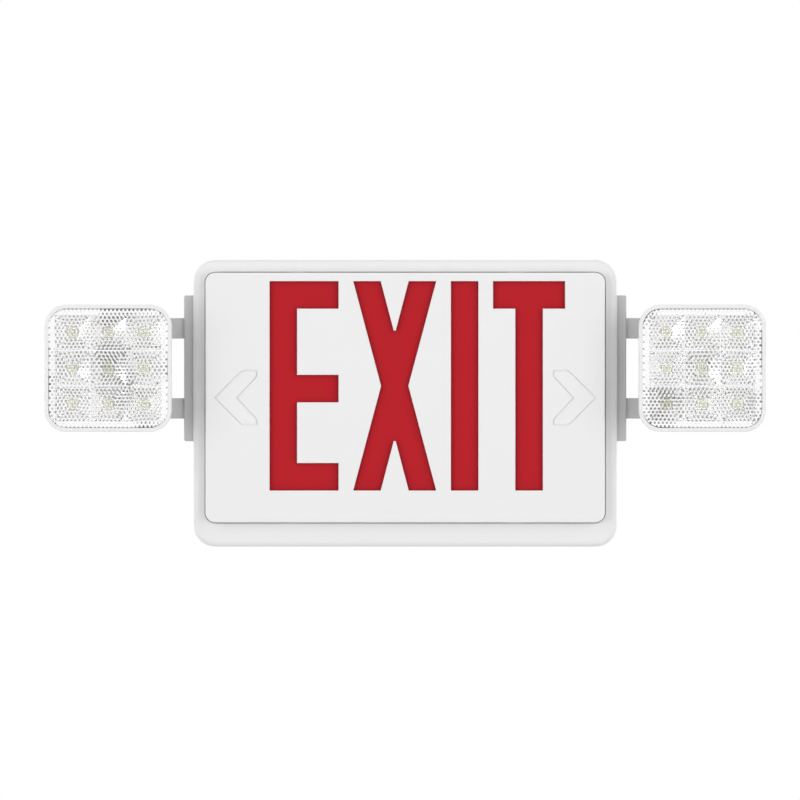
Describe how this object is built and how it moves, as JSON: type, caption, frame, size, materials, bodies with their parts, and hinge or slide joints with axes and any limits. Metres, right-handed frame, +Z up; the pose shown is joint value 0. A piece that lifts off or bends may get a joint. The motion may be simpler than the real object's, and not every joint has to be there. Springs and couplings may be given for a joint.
{
  "type": "emergency exit light",
  "caption": "Wall-mounted emergency exit light: a boxed sign with cut-through letters over a red panel, and a square swivelling lamp head on a bracket at each side.",
  "frame": {"origin": "centre of the wire entry in the back plate, on the wall plane", "axes": "+X to the reader's right, +Y into the wall, +Z up; the front faces -Y"},
  "size_m": [0.5242, 0.074, 0.2088],
  "materials": {
    "white_moulding": "moulded, fine texture",
    "white_faceplate": "moulded, smooth",
    "red_panel": "translucent, smooth",
    "white_reflector": "smooth",
    "white_board": "solder mask",
    "green_board": "solder mask",
    "led": "phosphor",
    "bright_steel": "zinc plated",
    "winding_tape": "tape",
    "ferrite": "ground",
    "black_sleeve": "shrunk sleeve",
    "black_moulding": "moulded",
    "grey_moulding": "moulded",
    "battery_sleeve": "shrunk sleeve",
    "clear_lens": "prismatic, clear",
    "bright_reflector": "vacuum metallised"
  },
  "bodies": {
    "sign": {"back_plate": "white_moulding", "housing": "white_moulding", "cover_screws": "bright_steel", "faceplate": "white_faceplate", "legend_panel": "red_panel", "light_box": "white_reflector", "upper_led_strip": "white_board", "upper_strip_leds": "led", "lower_led_strip": "white_board", "lower_strip_leds": "led", "circuit_board": "green_board", "board_screws": "bright_steel", "transformer_coil": "winding_tape", "transformer_core": "ferrite", "capacitors": "black_sleeve", "relay": "black_moulding", "terminal_block": "grey_moulding", "battery_pack": "battery_sleeve", "battery_strap": "white_moulding", "strap_screws": "bright_steel", "test_switch": "black_moulding", "switch_board": "green_board", "indicator_lens": "clear_lens", "left_lamp_bracket": "white_moulding", "left_bracket_screws": "bright_steel", "left_pivot_pins": "bright_steel", "right_lamp_bracket": "white_moulding", "right_bracket_screws": "bright_steel", "right_pivot_pins": "bright_steel"},
    "left_head": {"left_head_shell": "white_moulding", "left_lens": "clear_lens", "left_reflector": "bright_reflector", "left_lamp_board": "white_board", "left_lamp_leds": "led"},
    "right_head": {"right_head_shell": "white_moulding", "right_lens": "clear_lens", "right_reflector": "bright_reflector", "right_lamp_board": "white_board", "right_lamp_leds": "led"},
    "button": {"test_button": "grey_moulding"}
  },
  "joints": [
    {"name": "left_head_swivel", "type": "hinge", "parent": "sign", "child": "left_head", "pos_m": [-0.2159, -0.022, 0.0255], "axis": [0, 0, -1], "range_deg": [-20, 55]},
    {"name": "right_head_swivel", "type": "hinge", "parent": "sign", "child": "right_head", "pos_m": [0.2159, -0.022, 0.0255], "axis": [0, 0, 1], "range_deg": [-20, 55]},
    {"name": "test_button_press", "type": "slide", "parent": "sign", "child": "button", "axis": [0, 0, 1], "range_m": [0, 0.0015], "stiffness_N_per_m": 900, "springref_m": -0.001}
  ]
}
